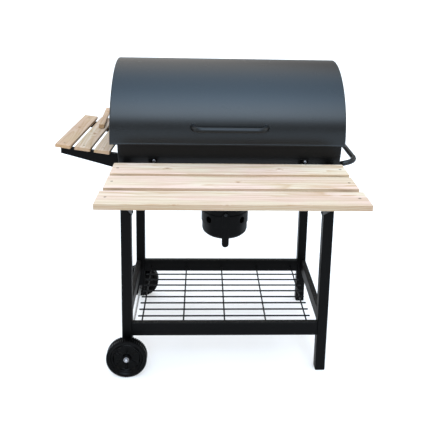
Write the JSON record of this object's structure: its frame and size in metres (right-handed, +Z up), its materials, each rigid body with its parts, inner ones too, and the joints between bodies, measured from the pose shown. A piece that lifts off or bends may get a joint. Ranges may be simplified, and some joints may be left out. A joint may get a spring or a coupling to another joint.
{
  "type": "barrel charcoal grill",
  "caption": "Charcoal grill with a horizontal barrel, hinged lid, ash pot, wire shelf, wheels, a slatted front table, a tilted side table and a push handle.",
  "frame": {"origin": "on the floor, under the middle of the grill's overall box", "axes": "+X to the right along the barrel, from the side table towards the push handle; +Y from the front table to the hinges; +Z up"},
  "size_m": [1.0198, 0.8832, 1.077],
  "materials": {
    "lid_paint": "satin heat-proof enamel, blue-grey black",
    "frame_paint": "satin black powder coat",
    "pine": "planed raw pine with fine grain and small knots",
    "black_plastic": "moulded matte black",
    "zinc": "bright zinc plate",
    "wire": "satin black coated wire",
    "grate_iron": "dark seasoned iron"
  },
  "bodies": {
    "stand": {"ash_collar": "frame_paint", "axle": "zinc", "axle_nut_front": "zinc", "axle_nut_rear": "zinc", "charcoal_grate": "grate_iron", "cooking_grate_left": "grate_iron", "cooking_grate_right": "grate_iron", "foot_cap_front": "black_plastic", "foot_cap_rear": "black_plastic", "grate_ledge_front": "frame_paint", "grate_ledge_rear": "frame_paint", "hinge_lower_left": "frame_paint", "hinge_lower_right": "frame_paint", "hinge_pin_left": "zinc", "hinge_pin_right": "zinc", "leg_front_left": "frame_paint", "leg_front_right": "frame_paint", "leg_rear_left": "frame_paint", "leg_rear_right": "frame_paint", "push_handle": "frame_paint", "shelf_beam_front": "frame_paint", "shelf_beam_rear": "frame_paint", "shelf_rail_left": "frame_paint", "shelf_rail_right": "frame_paint", "shelf_wire_grid": "wire", "side_batten": "pine", "side_bracket_front": "frame_paint", "side_bracket_rear": "frame_paint", "side_slat_inner": "pine", "side_slat_middle": "pine", "side_slat_outer": "pine", "table_arm_left": "frame_paint", "table_arm_right": "frame_paint", "table_bolt_left": "zinc", "table_bolt_right": "zinc", "table_bracket_left": "frame_paint", "table_bracket_right": "frame_paint", "table_slat_front": "pine", "table_slat_middle": "pine", "table_slat_rear": "pine", "table_strut_left": "frame_paint", "table_strut_right": "frame_paint", "trough_bracket_front_left": "frame_paint", "trough_bracket_front_right": "frame_paint", "trough_bracket_rear_left": "frame_paint", "trough_bracket_rear_right": "frame_paint", "trough_end_left": "frame_paint", "trough_end_right": "frame_paint", "trough_shell": "frame_paint"},
    "lid": {"lid_shell": "lid_paint", "lid_end_left": "lid_paint", "lid_end_right": "lid_paint", "lid_handle": "frame_paint", "hinge_upper_left": "frame_paint", "hinge_upper_right": "frame_paint"},
    "wheel_front": {"wheel_front": "black_plastic"},
    "wheel_rear": {"wheel_rear": "black_plastic"},
    "ash_pot": {"ash_pot": "frame_paint"},
    "air_damper": {"air_damper": "frame_paint"}
  },
  "joints": [
    {"name": "lid_hinge", "type": "hinge", "parent": "stand", "child": "lid", "pos_m": [0.06712, 0.36944, 0.843], "axis": [-1, 0, 0], "range_deg": [0, 92]},
    {"name": "wheel_front_spin", "type": "hinge", "parent": "stand", "child": "wheel_front", "pos_m": [-0.27288, -0.12706, 0.07], "axis": [0, 1, 0], "continuous": true},
    {"name": "wheel_rear_spin", "type": "hinge", "parent": "stand", "child": "wheel_rear", "pos_m": [-0.27288, 0.38994, 0.07], "axis": [0, 1, 0], "continuous": true},
    {"name": "ash_pot_drop", "type": "slide", "parent": "stand", "child": "ash_pot", "axis": [0, 0, -1], "range_m": [0, 0.15]},
    {"name": "air_damper_turn", "type": "hinge", "parent": "ash_pot", "child": "air_damper", "pos_m": [0.06712, 0.13144, 0.49], "axis": [0, 0, 1], "range_deg": [0, 42]}
  ]
}
